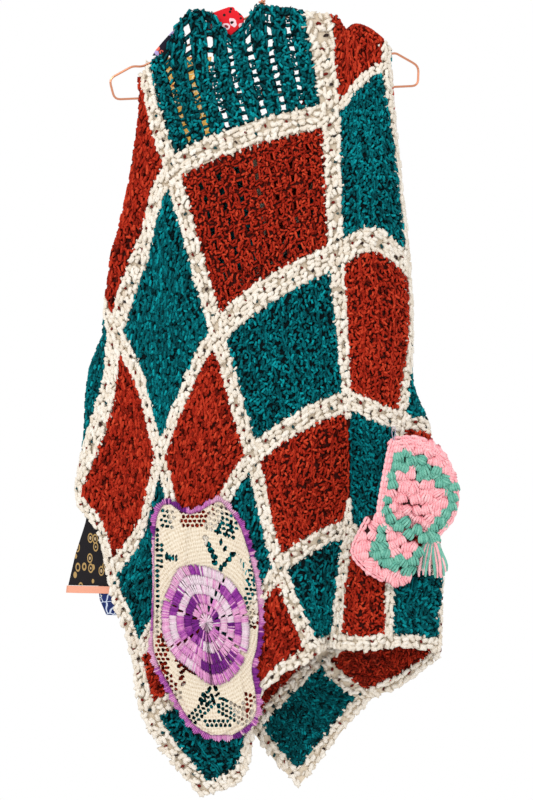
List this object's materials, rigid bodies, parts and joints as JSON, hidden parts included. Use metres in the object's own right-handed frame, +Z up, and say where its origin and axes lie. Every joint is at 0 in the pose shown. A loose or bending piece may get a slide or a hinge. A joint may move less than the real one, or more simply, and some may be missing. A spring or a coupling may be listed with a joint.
{
  "type": "crochet patchwork wrap skirt on a wire hanger",
  "caption": "Chunky crochet patchwork wrap skirt with cream borders, a lace doily pocket and a potholder pocket, hanging wrapped round a bent wire clothes hanger.",
  "frame": {"origin": "top of the hook's inside, where a rail holds the hanger", "axes": "+X to the skirt's right as seen from the front, -Y towards the viewer, +Z up"},
  "size_m": [0.5129, 0.118, 1.0991],
  "materials": {
    "teal_yarn": "chunky crocheted yarn, matt",
    "rust_yarn": "chunky crocheted yarn, matt",
    "cream_yarn": "very chunky crocheted yarn, matt",
    "doily_cotton": "fine mercerised crochet cotton",
    "doily_variegated": "fine crochet cotton in purple, lilac and white turns",
    "doily_purple": "fine crochet cotton, variegated purple",
    "pink_acrylic": "soft acrylic yarn",
    "mint_acrylic": "soft acrylic yarn",
    "black_print": "printed cotton, gold leaf print on black",
    "peach_binding": "cotton binding, matt",
    "navy_print": "printed cotton, small white dots on navy",
    "red_print": "printed cotton, small white flowers on red",
    "ochre_print": "printed cotton, ochre and pink",
    "copper_wire": "copper-plated steel wire, polished"
  },
  "bodies": {
    "root": {"square_c1_r1": "teal_yarn", "square_c1_r2": "rust_yarn", "square_c1_r3": "teal_yarn", "square_c1_r4": "rust_yarn", "square_c1_r5": "teal_yarn", "square_c2_r1": "rust_yarn", "square_c2_r2": "teal_yarn", "square_c2_r3": "rust_yarn", "square_c2_r4": "teal_yarn", "square_c2_r5": "rust_yarn", "square_c3_r1": "teal_yarn", "square_c3_r2": "rust_yarn", "square_c3_r3": "teal_yarn", "square_c3_r4": "rust_yarn", "square_c3_r5": "teal_yarn", "square_c4_r1": "rust_yarn", "square_c4_r2": "teal_yarn", "square_c4_r3": "rust_yarn", "square_c4_r4": "teal_yarn", "square_c4_r5": "rust_yarn", "square_c5_r1": "teal_yarn", "square_c5_r2": "rust_yarn", "square_c5_r3": "teal_yarn", "square_c5_r4": "rust_yarn", "square_c5_r5": "teal_yarn", "square_c6_r1": "rust_yarn", "square_c6_r2": "teal_yarn", "square_c6_r3": "rust_yarn", "square_c6_r4": "teal_yarn", "square_c6_r5": "rust_yarn", "square_c7_r1": "teal_yarn", "square_c7_r2": "rust_yarn", "square_c7_r3": "teal_yarn", "square_c7_r4": "rust_yarn", "square_c7_r5": "teal_yarn", "border_1": "cream_yarn", "border_2": "cream_yarn", "border_3": "cream_yarn", "border_4": "cream_yarn", "border_5": "cream_yarn", "border_6": "cream_yarn", "border_7": "cream_yarn", "border_8": "cream_yarn", "hanger_frame": "copper_wire", "hanger_hook": "copper_wire", "doily_field": "doily_cotton", "doily_flower": "doily_variegated", "doily_edging": "doily_purple", "granny_upper": "pink_acrylic", "granny_flap": "mint_acrylic", "granny_tassel": "pink_acrylic", "print_black": "black_print", "print_binding": "peach_binding", "print_navy": "navy_print", "print_ochre": "ochre_print", "print_shoulder": "navy_print", "print_red": "red_print"}
  },
  "joints": []
}
